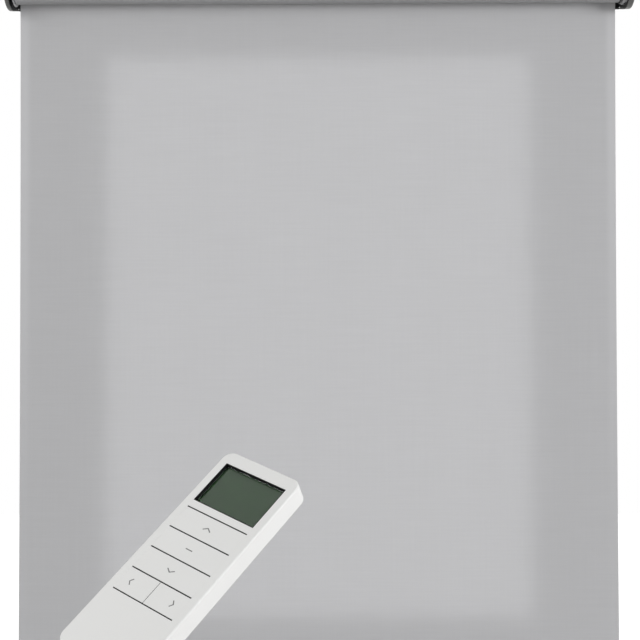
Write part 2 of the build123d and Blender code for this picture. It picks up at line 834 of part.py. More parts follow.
def remote_screws():
    parts = []
    for x, y in screw_places():
        shank = (Align.CENTER, Align.CENTER, Align.MIN)
        screw = Cylinder(shell_screw_radius, shell_screw_length, align=shank)
        cap = (Align.CENTER, Align.CENTER, Align.MAX)
        screw += Cylinder(shell_screw_head, shell_screw_head_height, align=cap)
        screw -= Pos(0, 0, -0.8) * Box(0.5, 2.2, 0.6)
        screw -= Pos(0, 0, -0.8) * Box(2.2, 0.5, 0.6)
        parts.append(remote_place * Pos(x, y, -remote_thickness + 1.18) * screw)
    return Compound(children=parts)


def lcd_bezel():
    depth = glass_thickness - glass_top + 0.1
    frame = Box(window_width - bezel_play, window_height - bezel_play, depth)
    frame -= Box(window_width - 2 * bezel_wall, window_height - 2 * bezel_wall, 2 * depth)
    return remote_place * Pos(0, window_mid, -0.15 - depth / 2) * frame


def lcd_window():
    glass = Box(window_width - 1.04, window_height - 1.04, glass_thickness)
    return remote_place * Pos(0, window_mid, glass_top - glass_thickness / 2) * glass


def lcd_module():
    front = glass_top - glass_thickness - 0.05
    panel = Box(window_width - panel_inset, window_height - panel_inset, front - panel_back)
    panel += Pos(0, -window_height / 2, -0.5) * Box(24, 3, 1.0)
    return remote_place * Pos(0, window_mid, (front + panel_back) / 2) * panel


# One key: top plate flush with the face, hidden rim below it, and a plunger over the dome
def key(row, left, right):
    top = row_edge(row) - key_slot / 2
    bottom = row_edge(row + 1) + key_slot / 2
    width = right - left
    mid_x = (left + right) / 2
    mid_y = (top + bottom) / 2
    plate = Box(width, top - bottom, key_plate, align=(Align.CENTER, Align.CENTER, Align.MAX))
    plate = fillet(plate.edges().filter_by(Axis.X).group_by(Axis.Z)[-1], key_edge_round)
    body = Pos(mid_x, mid_y, -0.02) * plate
    rim_left = left - rim_reach if left < -1 - key_field_width / 4 else left
    rim_right = right + rim_reach if right > 1 + key_field_width / 4 else right
    rim = Box(rim_right - rim_left, top - bottom, rim_height, align=(Align.CENTER, Align.CENTER, Align.MAX))
    body += Pos((rim_left + rim_right) / 2, mid_y, -key_plate - 0.02) * rim
    body += Pos(mid_x, mid_y, -2.35) * Cylinder(plunger_radius, plunger_height)
    return remote_place * body


def whole_key(row):
    return key(row, -key_field_width / 2, key_field_width / 2)


def key_up():
    return whole_key(0)


def key_stop():
    return whole_key(1)


def key_down():
    return whole_key(2)


def key_left():
    return key(3, -key_field_width / 2, -key_middle_gap / 2)


def key_right():
    return key(3, key_middle_gap / 2, key_field_width / 2)


# Rubber mat with one dome under each key, and ribs that stand up in the gaps between the keys
def key_mat():
    field_height = key_pitch * key_rows
    mat = Pos(0, key_field_top - field_height / 2, mat_top - mat_thickness / 2) * Box(
        mat_width, field_height, mat_thickness)
    for row in range(key_rows):
        places = (0,) if row < key_rows - 1 else (-key_field_width / 4, key_field_width / 4)
        for x in places:
            mat += Pos(x, row_edge(row + 0.5), mat_top + 0.3) * Cone(dome_foot, dome_top, dome_height)
    upright = (Align.CENTER, Align.CENTER, Align.MIN)
    height = rib_top - mat_top + 0.1
    rib = Box(key_field_width, key_slot - 2 * rib_clearance, height, align=upright)
    for edge in range(key_rows + 1):
        mat += Pos(0, row_edge(edge), mat_top - 0.1) * rib
    middle_rib = Box(key_middle_gap - 2 * rib_clearance, key_pitch, height, align=upright)
    mat += Pos(0, row_edge(key_rows - 0.5), mat_top - 0.1) * middle_rib
    return remote_place * mat


def remote_board():
    board = Pos(0, -47, -5.1) * Box(36, 82, 1.0)
    board += Pos(8, -70, -6.3) * Box(8, 8, 1.4)
    board += Pos(-9, -48, -6.1) * Box(5, 7, 1.0)
    board += Pos(-10, -20, -6.4) * Box(9, 4, 1.6)
    return remote_place * board


def coin_cell():
    cell = Cylinder(coin_radius, coin_height)
    cell = chamfer(cell.edges().sort_by(Axis.Z)[-1], coin_edge)
    return remote_place * Pos(0, cell_mid, -7.5) * cell


def battery_contacts():
    top_strip = Pos(0, cell_mid + 7.5, -5.75) * Box(5, 18, 0.2)
    side_strip = Pos(-10.6, cell_mid + 4, -6.6) * Box(0.3, 22, 3.0)
    return remote_place * Compound(children=[top_strip, side_strip])


# Sliding cover of the cell, with grip ribs
def battery_door():
    length = remote_length + door_top - 1.8
    door = Box(door_width, length, door_plate, align=(Align.CENTER, Align.MAX, Align.MIN))
    for number in range(door_grip_count):
        groove = Box(door_grip_width, 0.8, 0.6)
        door -= Pos(0, -4 - door_grip_pitch * number, 0) * groove
    return remote_place * Pos(0, door_top - 0.15, -remote_thickness + 0.02) * door


sub_parts = [
    left_bracket_plate, left_bracket_cover, idle_bush, right_bracket_plate, right_bracket_cover,
    motor_lock_clip, motor_head, charge_port, programming_button, status_lens, head_screws, motor_tube,
    control_board, battery_cells, drive_motor, motor_pinion, planet_gear_1, planet_gear_2, planet_gear_3,
    ring_gear, planet_carrier, motor_end_cap, output_bush, drive_wheel, drive_clip, crown, roller_tube,
    cloth_spline, cloth_roll, idle_plug, idle_pin, idle_spring, cloth, bottom_rail, rail_cap_left,
    rail_cap_right, rail_spline, remote_front_shell, remote_back_shell, remote_screws, lcd_bezel,
    lcd_window, lcd_module, key_up, key_stop, key_down, key_left, key_right, key_mat, remote_board,
    coin_cell, battery_contacts, battery_door,
]

os.makedirs("parts", exist_ok=True)
for make in sub_parts:
    export_step(make(), f"parts/{make.__name__}.step")
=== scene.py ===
import json
import math

import bmesh
import bpy
import numpy as np
from mathutils import Matrix, Vector


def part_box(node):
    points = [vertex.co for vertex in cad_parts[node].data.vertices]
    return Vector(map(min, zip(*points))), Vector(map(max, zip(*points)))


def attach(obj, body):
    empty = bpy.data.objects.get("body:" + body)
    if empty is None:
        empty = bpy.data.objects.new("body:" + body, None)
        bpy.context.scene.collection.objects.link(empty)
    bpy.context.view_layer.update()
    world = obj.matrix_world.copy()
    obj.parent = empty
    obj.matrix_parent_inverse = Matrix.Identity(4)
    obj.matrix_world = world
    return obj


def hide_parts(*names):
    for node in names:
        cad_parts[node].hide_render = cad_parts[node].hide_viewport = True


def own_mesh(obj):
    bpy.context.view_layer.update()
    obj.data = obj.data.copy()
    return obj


# Motorized roller blind with its hand transmitter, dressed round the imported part.
# Metres throughout, +X along the roller to the motor, +Y into the wall, +Z up.

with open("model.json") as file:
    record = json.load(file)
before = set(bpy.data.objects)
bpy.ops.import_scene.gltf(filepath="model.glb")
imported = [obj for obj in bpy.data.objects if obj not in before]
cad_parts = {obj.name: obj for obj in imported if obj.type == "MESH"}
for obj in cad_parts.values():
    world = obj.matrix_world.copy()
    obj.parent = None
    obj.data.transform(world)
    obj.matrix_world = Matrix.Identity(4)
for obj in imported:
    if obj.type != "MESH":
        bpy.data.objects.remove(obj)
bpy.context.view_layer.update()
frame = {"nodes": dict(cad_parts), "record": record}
mm = 0.001
mergeDistance = 0.001 * mm  # points nearer than this become one


# Camera, fitted to the edges of the cloth, the brackets and the transmitter: angles in degrees
cameraFit = {
    "place": (0.00913, -1.27317, -0.3478),
    "yaw": -0.409,
    "pitch": 1.261,
    "roll": -0.097,
    "focalPx": 1300.0,
    "framePx": 640.0,
    "sensorMm": 36.0,
    "clipStart": 0.01,
}


def addCamera(fit):
    yaw, pitch, roll = (math.radians(fit[k]) for k in ("yaw", "pitch", "roll"))
    ahead = Vector((math.sin(yaw) * math.cos(pitch), math.cos(yaw) * math.cos(pitch), math.sin(pitch)))
    level = ahead.cross(Vector((0, 0, 1))).normalized()
    upright = level.cross(ahead)
    right = level * math.cos(roll) + upright * math.sin(roll)
    up = upright * math.cos(roll) - level * math.sin(roll)
    data = bpy.data.cameras.new("camera")
    data.sensor_width = fit["sensorMm"]
    data.lens = fit["focalPx"] / fit["framePx"] * fit["sensorMm"]
    data.clip_start = fit["clipStart"]
    camera = bpy.data.objects.new("camera", data)
    turn = Matrix((right, up, -ahead)).transposed()
    camera.matrix_world = Matrix.Translation(fit["place"]) @ turn.to_4x4()
    bpy.context.scene.collection.objects.link(camera)
    bpy.context.scene.camera = camera


addCamera(cameraFit)
bpy.context.scene.view_settings.view_transform = "Standard"


def linear(hexColour, alpha=1.0):
    # sRGB hex to the linear light that shaders take
    whole = int(hexColour.lstrip("#"), 16)
    shares = [(whole >> shift & 255) / 255 for shift in (16, 8, 0)]
    return [s / 12.92 if s <= 0.04045 else ((s + 0.055) / 1.055) ** 2.4 for s in shares] + [alpha]


def addNode(tree, kind, settings=None, links=None):
    # adds one node: settings by name are its own choices or its sockets' values, links join its sockets
    node = tree.nodes.new("ShaderNode" + kind)
    for name, value in (settings or {}).items():
        if isinstance(name, str) and hasattr(node, name):
            setattr(node, name, value)
        else:
            node.inputs[name].default_value = value
    for name, socket in (links or {}).items():
        tree.links.new(socket, node.inputs[name])
    return node


def newMaterial(name, settings):
    # a material with its shader set, and the object's own coordinates
    material = bpy.data.materials.new(name)
    material.use_nodes = True
    tree = material.node_tree
    shader = tree.nodes["Principled BSDF"]
    for socket, value in settings.items():
        shader.inputs[socket].default_value = value
    place = addNode(tree, "TexCoord").outputs["Object"]
    return material, tree, shader, place


# Most values of a noise lie between these
noiseSpan = (0.3, 0.7)


def noiseAt(tree, place, sizeMm, detail):
    # a noise with patches of about this size
    noise = addNode(tree, "TexNoise", {"Scale": 1 / (sizeMm * mm), "Detail": detail}, {"Vector": place})
    return noise.outputs["Fac"]


def stretchedNoise(tree, place, perMetre, settings):
    # a noise drawn out to its own number of patches per metre along each axis
    stretch = addNode(tree, "Mapping", {"Scale": perMetre}, {"Vector": place})
    noise = addNode(tree, "TexNoise", {"Scale": 1.0, **settings}, {"Vector": stretch.outputs[0]})
    return noise.outputs["Fac"]


def setTone(tree, shader, look, share):
    # base colour: from the main tone to its drift, by the share
    tone = addNode(tree, "Mix", {"data_type": "RGBA", 6: linear(look["colour"]), 7: linear(look["drift"])},
                   {0: share})
    tree.links.new(tone.outputs[2], shader.inputs["Base Color"])


def setSheen(tree, shader, look, share, span=(0.0, 1.0)):
    # roughness: from the glossier to the duller value, as the share crosses its span
    glossy, dull = look["roughness"]
    sheen = addNode(tree, "MapRange", {"From Min": span[0], "From Max": span[1],
                                       "To Min": glossy, "To Max": dull}, {"Value": share})
    tree.links.new(sheen.outputs[0], shader.inputs["Roughness"])


def setRelief(tree, shader, height, depthMm, under=None):
    # relief of this depth, on top of an earlier one where there is one
    links = {"Height": height}
    if under is not None:
        links["Normal"] = under
    relief = addNode(tree, "Bump", {"Distance": depthMm * mm, "Strength": 1.0}, links).outputs[0]
    tree.links.new(relief, shader.inputs["Normal"])
    return relief


# Studio: even light from all round, one wide lamp from the right, one from the left and daylight
# on the back of the cloth
studio = {
    "ambient": 0.372,
    "rightLamp": {"at": (2.2, -1.9, -0.05), "size": (1.2, 0.9), "watts": 48.0, "colour": "#FDFDFF"},
    "leftLamp": {"at": (-1.4, -1.2, 0.20), "size": (1.2, 0.9), "watts": 13.2, "colour": "#FFFFFF"},
    "aim": (0.0, 0.0, -0.35),
    "daylight": {"left": -0.207, "right": 0.2045, "low": -0.607, "high": -0.064,
                 "behind": -0.003, "watts": 0.98, "colour": "#FFFFFF"},
    "floor": {"drop": 1.40, "side": 14.0, "colour": "#BFBFBD", "drift": "#C4C4C2", "cloudMm": 500.0,
              "glow": 0.90},
}


def whiteToEye(tree, plain, bright):
    # plain strength for lighting, bright where the eye, a mirror or clear plastic looks at it
    path = addNode(tree, "LightPath")
    seen = addNode(tree, "Math", {"operation": "MAXIMUM"},
                   {0: path.outputs["Is Camera Ray"], 1: path.outputs["Is Glossy Ray"]})
    seen = addNode(tree, "Math", {"operation": "MAXIMUM"},
                   {0: seen.outputs[0], 1: path.outputs["Is Transmission Ray"]})
    return addNode(tree, "MapRange", {"To Min": plain, "To Max": bright}, {"Value": seen.outputs[0]})


def addWorld(look):
    world = bpy.data.worlds.new("paleStudio")
    world.use_nodes = True
    bpy.context.scene.world = world
    tree = world.node_tree
    sky = tree.nodes["Background"]
    sky.inputs["Color"].default_value = (1, 1, 1, 1)
    tree.links.new(whiteToEye(tree, look["ambient"], 1.0).outputs[0], sky.inputs["Strength"])


def addLamp(name, lamp, aim):
    data = bpy.data.lights.new(name, "AREA")
    data.shape = "RECTANGLE"
    data.size, data.size_y = lamp["size"]
    data.energy = lamp["watts"]
    data.color = linear(lamp["colour"])[:3]
    thing = bpy.data.objects.new(name, data)
    thing.location = lamp["at"]
    thing.rotation_euler = (Vector(aim) - Vector(lamp["at"])).to_track_quat("-Z", "Y").to_euler()
    thing.visible_camera = False
    bpy.context.scene.collection.objects.link(thing)


def addDaylight(look):
    # daylight close behind the cloth, which shows through it as a lighter rectangle with soft edges
    width, height = look["right"] - look["left"], look["high"] - look["low"]
    middle = ((look["left"] + look["right"]) / 2, look["behind"], (look["low"] + look["high"]) / 2)
    lamp = {"at": middle, "size": (width, height), "watts": look["watts"], "colour": look["colour"]}
    addLamp("daylight", lamp, Vector(middle) - Vector((0, 1, 0)))


def addFloor(look):
    # sealed plaster with faint trowel clouding, so that the pale floor isn't one flat colour
    half = look["side"] / 2
    u, v = np.meshgrid(np.linspace(-half, half, 3), np.linspace(-half, half, 3))
    floor = gridMesh("floor", np.stack([u, v, np.full_like(u, -look["drop"])], axis=-1))
    material, tree, shader, place = newMaterial("sealedPlaster", {"Roughness": 0.7})
    setTone(tree, shader, look, noiseAt(tree, place, look["cloudMm"], detail=3.0))
    shader.inputs["Emission Color"].default_value = (1, 1, 1, 1)
    glow = whiteToEye(tree, 0.0, look["glow"])
    tree.links.new(glow.outputs[0], shader.inputs["Emission Strength"])
    floor.data.materials.append(material)


def gridMesh(name, points, closeRows=False, closeColumns=False):
    # a surface from a rows x columns grid of points: each face joins a point to the next in its row and
    # column, and a closed direction joins the last to the first
    rows, columns = points.shape[:2]
    row = np.arange(rows if closeRows else rows - 1)
    column = np.arange(columns if closeColumns else columns - 1)
    a = row[:, None] * columns + column[None, :]
    b = row[:, None] * columns + (column[None, :] + 1) % columns
    c = (row[:, None] + 1) % rows * columns + (column[None, :] + 1) % columns
    d = (row[:, None] + 1) % rows * columns + column[None, :]
    faces = np.stack([a, b, c, d], axis=-1).reshape(-1, 4)
    mesh = bpy.data.meshes.new(name)
    mesh.from_pydata(points.reshape(-1, 3).tolist(), [], faces.tolist())
    mesh.polygons.foreach_set("use_smooth", np.ones(len(faces), bool))
    mesh.update()
    thing = bpy.data.objects.new(name, mesh)
    bpy.context.scene.collection.objects.link(thing)
    return thing


addWorld(studio)
addLamp("rightLamp", studio["rightLamp"], studio["aim"])
addLamp("leftLamp", studio["leftLamp"], studio["aim"])
addDaylight(studio["daylight"])
addFloor(studio["floor"])
print("camera, lamps and floor are in place")


def mouldedPlastic(name, look):
    # Injection moulding: an even spark-eroded grain from the tool, a slow drift of colour where the melt
    # flowed, and a sheen that is a little uneven
    material, tree, shader, place = newMaterial(name, {"IOR": look.get("ior", 1.53)})
    grain = noiseAt(tree, place, look["grainMm"], detail=3.0)
    flow = noiseAt(tree, place, look["flowMm"], detail=2.0)
    setTone(tree, shader, look, flow)
    setSheen(tree, shader, look, flow, noiseSpan)
    setRelief(tree, shader, grain, look["grainDepthMm"])
    return material


def workedMetal(name, look):
    # Rolled, drawn or ground metal: fine lines along the working direction, if it has one, and a dull
    # patchiness
    material, tree, shader, place = newMaterial(name, {"Metallic": 1.0})
    fine = 1 / (look["lineMm"] * mm)
    long = 1 / (look.get("lineLongMm", look["lineMm"]) * mm)
    perMetre = [long if axis == look.get("along") else fine for axis in "XYZ"]
    lines = stretchedNoise(tree, place, perMetre, {"Detail": 3.0})
    patches = noiseAt(tree, place, look["patchMm"], detail=4.0)
    setTone(tree, shader, look, patches)
    setSheen(tree, shader, look, lines, noiseSpan)
    setRelief(tree, shader, lines, look["lineDepthMm"])
    return material


def powderCoat(name, look):
    # Powder coat: a melted skin with shallow orange peel under finer dust nibs
    material, tree, shader, place = newMaterial(name, {"IOR": 1.5})
    peel = noiseAt(tree, place, look["peelMm"], detail=1.5)
    nibs = addNode(tree, "TexVoronoi", {"Scale": 1 / (look["nibMm"] * mm)}, {"Vector": place})
    setTone(tree, shader, look, peel)
    setSheen(tree, shader, look, peel)
    peelRelief = setRelief(tree, shader, peel, look["peelDepthMm"])
    setRelief(tree, shader, nibs.outputs["Distance"], look["nibDepthMm"], under=peelRelief)
    return material


def clearPlastic(name, look):
    # Clear moulded or cast window: barely tinted, with faint polishing haze
    material, tree, shader, place = newMaterial(name, {"IOR": look["ior"], "Transmission Weight": 1.0})
    haze = noiseAt(tree, place, look["hazeMm"], detail=3.0)
    setTone(tree, shader, look, haze)
    setSheen(tree, shader, look, haze)
    return material


# Radians that a wave texture of scale 1 goes through in a metre
waveRate = 20


def coatedCloth(name, look):
    # Light-filtering polyester, plain weave with a thin acrylic coat: light grey, lets a little daylight
    # through, with faint slubs along weft and warp
    material, tree, shader, place = newMaterial(name, {"Roughness": 0.82, "IOR": 1.5,
                                                       "Specular IOR Level": 0.25, "Sheen Weight": 0.06})
    thread = 2 * math.pi / (look["threadMm"] * mm)
    ways = []
    for direction in ("X", "Z"):
        wave = addNode(tree, "TexWave", {"wave_type": "BANDS", "bands_direction": direction,
                                         "Scale": thread / waveRate, "Distortion": 0.6, "Detail": 1.0},
                       {"Vector": place})
        ways.append(wave.outputs["Fac"])
    weave = addNode(tree, "Math", {"operation": "MULTIPLY"}, {0: ways[0], 1: ways[1]})
    slub, slubLong, warpLong = (1 / (look[k] * mm) for k in ("slubMm", "slubLongMm", "warpLongMm"))
    weft = stretchedNoise(tree, place, (slubLong, 1.0, slub), {"Detail": 3.0, "Roughness": 0.6})
    warp = stretchedNoise(tree, place, (slub, 1.0, warpLong), {"Detail": 2.0})
    slubs = addNode(tree, "Mix", {"data_type": "FLOAT", 0: look["warpShare"]}, {2: weft, 3: warp})
    low, high = look["slubSpan"]
    spread = addNode(tree, "MapRange", {"From Min": low, "From Max": high}, {"Value": slubs.outputs[0]})
    tone = addNode(tree, "Mix", {"data_type": "RGBA", 6: linear(look["colour"]),
                                 7: linear(look["slubColour"])}, {0: spread.outputs[0]})
    # painted light: the cloth is painted a little lighter towards the cut side edges, standing in for light
    # that reaches round them from behind
    apart = addNode(tree, "SeparateXYZ", {}, {"Vector": place})
    left, right = (side * mm for side in look["sidesMm"])
    middle, half = (left + right) / 2, (right - left) / 2
    offset = addNode(tree, "Math", {"operation": "SUBTRACT", 1: middle}, {0: apart.outputs["X"]})
    out = addNode(tree, "Math", {"operation": "ABSOLUTE"}, {0: offset.outputs[0]})
    begins, full = (half - width * mm for width in look["paintedEdgeLightMm"])
    paintedEdgeLight = addNode(tree, "MapRange", {"interpolation_type": "SMOOTHSTEP", "From Min": begins,
                                     "From Max": full}, {"Value": out.outputs[0]})
    # the painted edge light is weaker lower down
    low, high = (height * mm for height in look["paintedEdgeLightFadeMm"])
    paintedEdgeLightFade = addNode(tree, "MapRange", {"From Min": low, "From Max": high, "To Min": look["paintedEdgeLightFadeTo"]},
                   {"Value": apart.outputs["Z"]})
    paintedEdgeLight = addNode(tree, "Math", {"operation": "MULTIPLY"}, {0: paintedEdgeLight.outputs[0], 1: paintedEdgeLightFade.outputs[0]})
    # mixes the painted edge light into the cloth's colour
    tone = addNode(tree, "Mix", {"data_type": "RGBA", 7: linear(look["paintedEdgeLightColour"])},
                   {0: paintedEdgeLight.outputs[0], 6: tone.outputs[2]})
    tree.links.new(tone.outputs[2], shader.inputs["Base Color"])
    relief = setRelief(tree, shader, weave.outputs[0], look["weaveDepthMm"])
    through = addNode(tree, "BsdfTranslucent", {}, {"Color": tone.outputs[2], "Normal": relief})
    both = addNode(tree, "MixShader", {0: look["lightThrough"]},
                   {1: shader.outputs[0], 2: through.outputs[0]})
    tree.links.new(both.outputs[0], tree.nodes["Material Output"].inputs["Surface"])
    return material


def circuitBoard(name, look):
    # Green solder mask over copper: fields of two close greens, with thin tinned tracks between
    material, tree, shader, place = newMaterial(name, {"Roughness": 0.32, "IOR": 1.55})
    tracks = addNode(tree, "TexBrick", {"Scale": 1 / (look["trackMm"] * mm), "Mortar Size": 0.02,
                                        "Color1": linear(look["colour"]), "Color2": linear(look["drift"]),
                                        "Mortar": linear(look["tin"])}, {"Vector": place})
    tree.links.new(tracks.outputs["Color"], shader.inputs["Base Color"])
    setRelief(tree, shader, tracks.outputs["Fac"], look["trackDepthMm"])
    return material


def displayPanel(name, look):
    # Reflective liquid crystal cell: dull green, a little darker in places where the polariser turns
    material, tree, shader, place = newMaterial(name, {"Roughness": 0.4, "IOR": 1.5,
                                                       "Specular IOR Level": 0.1})
    setTone(tree, shader, look, noiseAt(tree, place, look["cloudMm"], detail=1.0))
    return material


# One finish for each material slot of the part
finishes = {
    "cover_plastic": (mouldedPlastic, "mouldedAbsCharcoal", {
        "colour": "#434442", "drift": "#4A4A48", "roughness": (0.30, 0.40),
        "grainMm": 0.5, "grainDepthMm": 0.010, "flowMm": 18.0}),
    "black_plastic": (mouldedPlastic, "mouldedPolyamideBlack", {
        "colour": "#151517", "drift": "#1C1C1E", "roughness": (0.38, 0.50),
        "grainMm": 0.4, "grainDepthMm": 0.012, "flowMm": 14.0}),
    "black_button": (mouldedPlastic, "mouldedAcetalBlack", {
        "colour": "#202022", "drift": "#28282A", "roughness": (0.22, 0.32),
        "grainMm": 0.3, "grainDepthMm": 0.006, "flowMm": 5.0}),
    "grey_plug": (mouldedPlastic, "mouldedPolyamideGrey", {
        "colour": "#B4B4B4", "drift": "#A6A6A7", "roughness": (0.36, 0.50),
        "grainMm": 0.4, "grainDepthMm": 0.012, "flowMm": 12.0}),
    "nylon": (mouldedPlastic, "mouldedNylonNatural", {
        "colour": "#DEDCD2", "drift": "#CFCDC2", "roughness": (0.34, 0.46),
        "grainMm": 0.4, "grainDepthMm": 0.008, "flowMm": 8.0}),
    "rail_cap_plastic": (mouldedPlastic, "mouldedAbsGrey", {
        "colour": "#B9B9BA", "drift": "#AFAFB1", "roughness": (0.36, 0.48),
        "grainMm": 0.4, "grainDepthMm": 0.010, "flowMm": 10.0}),
    "white_shell": (mouldedPlastic, "mouldedAbsWhite", {
        "colour": "#EAEAE8", "drift": "#E6E6E4", "roughness": (0.48, 0.56),
        "grainMm": 0.35, "grainDepthMm": 0.008, "flowMm": 30.0}),
    "white_key": (mouldedPlastic, "mouldedAbsWhiteKey", {
        "colour": "#EAEAE8", "drift": "#E6E6E4", "roughness": (0.46, 0.54),
        "grainMm": 0.3, "grainDepthMm": 0.006, "flowMm": 22.0}),
    "pvc": (mouldedPlastic, "extrudedPvcWhite", {
        "colour": "#DCDCD8", "drift": "#CFCFCA", "roughness": (0.36, 0.46),
        "grainMm": 0.6, "grainDepthMm": 0.006, "flowMm": 20.0}),
    "silicone": (mouldedPlastic, "mouldedSiliconeBlack", {
        "colour": "#161617", "drift": "#1D1D1E", "roughness": (0.62, 0.75), "ior": 1.30,
        "grainMm": 0.3, "grainDepthMm": 0.006, "flowMm": 9.0}),
    "cell_wrap": (mouldedPlastic, "shrunkPvcSleeveBlue", {
        "colour": "#27508A", "drift": "#2F5B97", "roughness": (0.22, 0.34),
        "grainMm": 1.2, "grainDepthMm": 0.015, "flowMm": 12.0}),
    "black_steel": (powderCoat, "powderCoatedSteelBlack", {
        "colour": "#1A1A1C", "drift": "#202022", "roughness": (0.40, 0.52),
        "peelMm": 1.3, "peelDepthMm": 0.02, "nibMm": 0.35, "nibDepthMm": 0.004}),
    "rail_aluminium": (powderCoat, "powderCoatedAluminiumGrey", {
        "colour": "#BDBDBE", "drift": "#B5B5B7", "roughness": (0.34, 0.44),
        "peelMm": 1.6, "peelDepthMm": 0.012, "nibMm": 0.4, "nibDepthMm": 0.003}),
    "spring_steel": (workedMetal, "rolledSpringSteel", {
        "colour": "#B9BABC", "drift": "#A6A8AB", "roughness": (0.20, 0.34), "along": "Z",
        "lineMm": 0.12, "lineLongMm": 5.0, "lineDepthMm": 0.003, "patchMm": 4.0}),
    "zinc_screw": (workedMetal, "zincPlatedSteel", {
        "colour": "#C3C5C8", "drift": "#AEB2B8", "roughness": (0.26, 0.40),
        "lineMm": 0.3, "lineDepthMm": 0.004, "patchMm": 2.0}),
    "steel": (workedMetal, "groundSteel", {
        "colour": "#B6B8BA", "drift": "#A2A5A8", "roughness": (0.22, 0.36), "along": "X",
        "lineMm": 0.12, "lineLongMm": 9.0, "lineDepthMm": 0.003, "patchMm": 9.0}),
    "sintered": (workedMetal, "sinteredIron", {
        "colour": "#7C7B7A", "drift": "#6A6968", "roughness": (0.48, 0.66),
        "lineMm": 0.15, "lineDepthMm": 0.012, "patchMm": 3.0}),
    "zinc_casting": (workedMetal, "dieCastZinc", {
        "colour": "#A9ABAE", "drift": "#989B9F", "roughness": (0.38, 0.52),
        "lineMm": 0.8, "lineDepthMm": 0.010, "patchMm": 5.0}),
    "bronze": (workedMetal, "oiledSinteredBronze", {
        "colour": "#B98F55", "drift": "#9C7440", "roughness": (0.34, 0.50),
        "lineMm": 0.15, "lineDepthMm": 0.006, "patchMm": 3.0}),
    "tube_aluminium": (workedMetal, "extrudedAluminiumMill", {
        "colour": "#CFD0D2", "drift": "#BFC1C4", "roughness": (0.26, 0.42), "along": "X",
        "lineMm": 0.25, "lineLongMm": 120.0, "lineDepthMm": 0.004, "patchMm": 14.0}),
    "cell_steel": (workedMetal, "nickelPlatedSteel", {
        "colour": "#D0CFCA", "drift": "#BDBBB5", "roughness": (0.12, 0.22),
        "lineMm": 0.5, "lineDepthMm": 0.003, "patchMm": 5.0}),
    "clear_lens": (clearPlastic, "mouldedPolycarbonateClear", {
        "colour": "#F4F6F6", "drift": "#EDF1F1", "roughness": (0.04, 0.10), "ior": 1.58, "hazeMm": 0.6}),
    "lcd_glass": (clearPlastic, "castAcrylicWindow", {
        "colour": "#DCE4DD", "drift": "#D5DED7", "roughness": (0.02, 0.06), "ior": 1.43, "hazeMm": 6.0}),
    "lcd_panel": (displayPanel, "reflectiveDisplay", {
        "colour": "#30522C", "drift": "#2B4B27", "cloudMm": 18.0}),
    "board": (circuitBoard, "solderMaskedBoard", {
        "colour": "#1F5A35", "drift": "#23643B", "tin": "#B8B9A8", "trackMm": 3.0,
        "trackDepthMm": 0.03}),
    "grey_cloth": (coatedCloth, "coatedPolyesterCloth", {
        "colour": "#C7C7C8", "slubColour": "#CACACB", "lightThrough": 0.42,
        "threadMm": 0.7, "weaveDepthMm": 0.03, "slubMm": 1.8, "slubLongMm": 60.0, "warpLongMm": 100.0,
        "warpShare": 0.3, "slubSpan": (0.35, 0.65), "sidesMm": (-291.6, 287.7), "paintedEdgeLightMm": (12.0, 4.8),
        "paintedEdgeLightColour": "#D0D0D1", "paintedEdgeLightFadeMm": (-520.0, -140.0), "paintedEdgeLightFadeTo": 0.15}),
}

# Nodes whose own surface differs from the rest of their slot
nodeFinishes = {
    "lcd_bezel": (mouldedPlastic, "mouldedAbsMattBlack", {
        "colour": "#050506", "drift": "#09090A", "roughness": (0.70, 0.80), "ior": 1.25,
        "grainMm": 0.3, "grainDepthMm": 0.010, "flowMm": 8.0}),
}

materials = {slot: make(name, look) for slot, (make, name, look) in finishes.items()}
ownMaterials = {node: make(name, look) for node, (make, name, look) in nodeFinishes.items()}
for part in frame["record"]["subparts"]:
    node = frame["nodes"][part["node"]]
    node.data.materials.clear()
    node.data.materials.append(ownMaterials.get(part["node"], materials[part["material_slot"]]))


# The hanging cloth. Each wave has its radians to a metre, its share of waveHeight and its start in
# radians. freeSpan has the shares of the drop between which the roll and the rail don't hold it flat.
hangingCloth = {
    "thick": 0.4 * mm,
    "columns": 121,
    "rows": 141,
    "waves": ((19.0, 1.0, 0.7), (43.0, 0.6, 2.1), (91.0, 0.3, 0.0)),
    "waveHeight": 0.35 * mm,
    "freeSpan": (0.25, 0.8),
    "waist": 0.6 * mm,
    "edgeColumn": 0.3 * mm,
    "edgeCurl": 0.05 * mm,
    "edgeWidth": 14 * mm,
    "clingLength": 45 * mm,
    "liftJoint": "rail_lift",
}


def shareOf(x, low, high):
    # 0 below low, 1 above high, a smooth rise between
    t = np.clip((x - low) / (high - low), 0, 1)
    return t * t * (3 - 2 * t)


